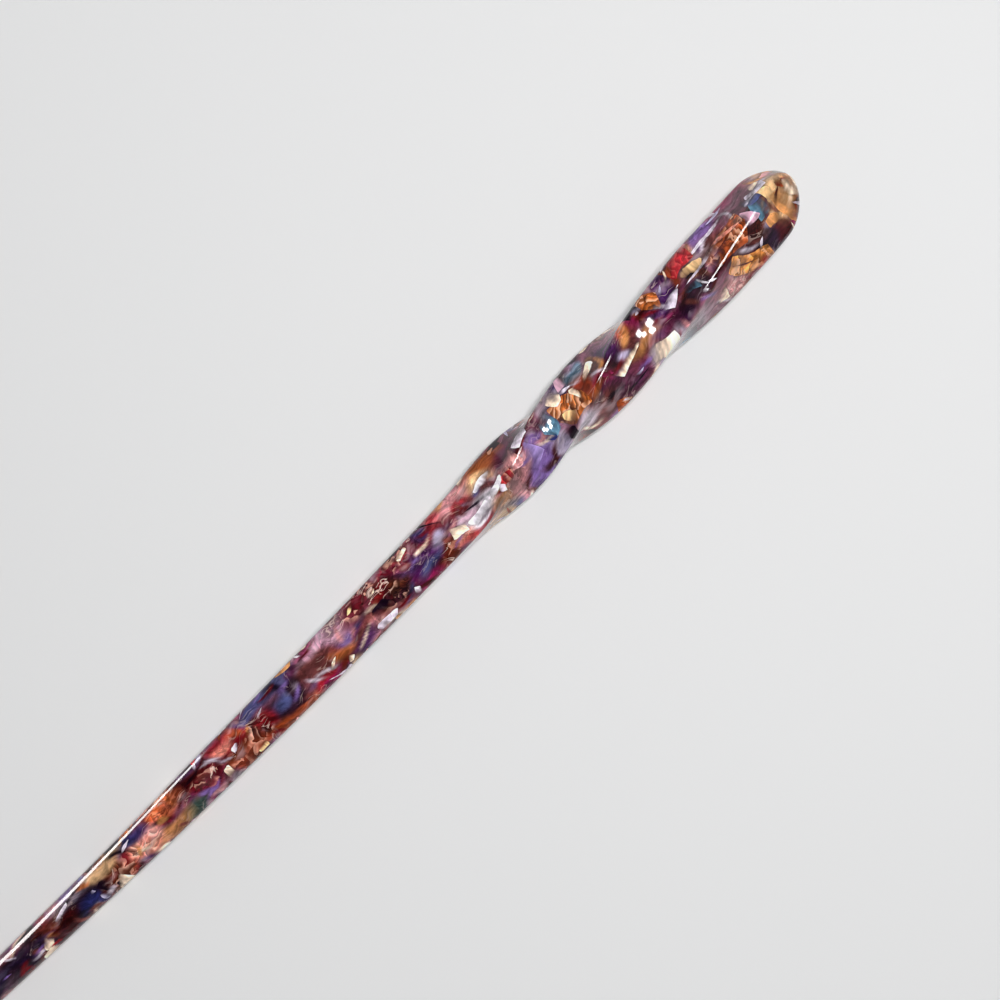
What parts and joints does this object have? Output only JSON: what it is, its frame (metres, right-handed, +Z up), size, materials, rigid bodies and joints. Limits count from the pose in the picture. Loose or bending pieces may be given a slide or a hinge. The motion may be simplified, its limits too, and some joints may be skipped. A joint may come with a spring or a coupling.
{
  "type": "hair stick",
  "caption": "Slender one-piece hair stick with a rounded-square shaft tapering to a blunt point and a twisted handle with a domed crown.",
  "frame": {"origin": "on the table under the middle of the stick as it lies at rest", "axes": "+X from the point to the crown of the handle, +Z up, +Y across the stick"},
  "size_m": [0.1798, 0.0094, 0.0102],
  "materials": {
    "acetate": "polished cellulose acetate pressed from plum, wine, rose, amber, cream and slate-blue chips"
  },
  "bodies": {
    "root": {"stick": "acetate"}
  },
  "joints": []
}
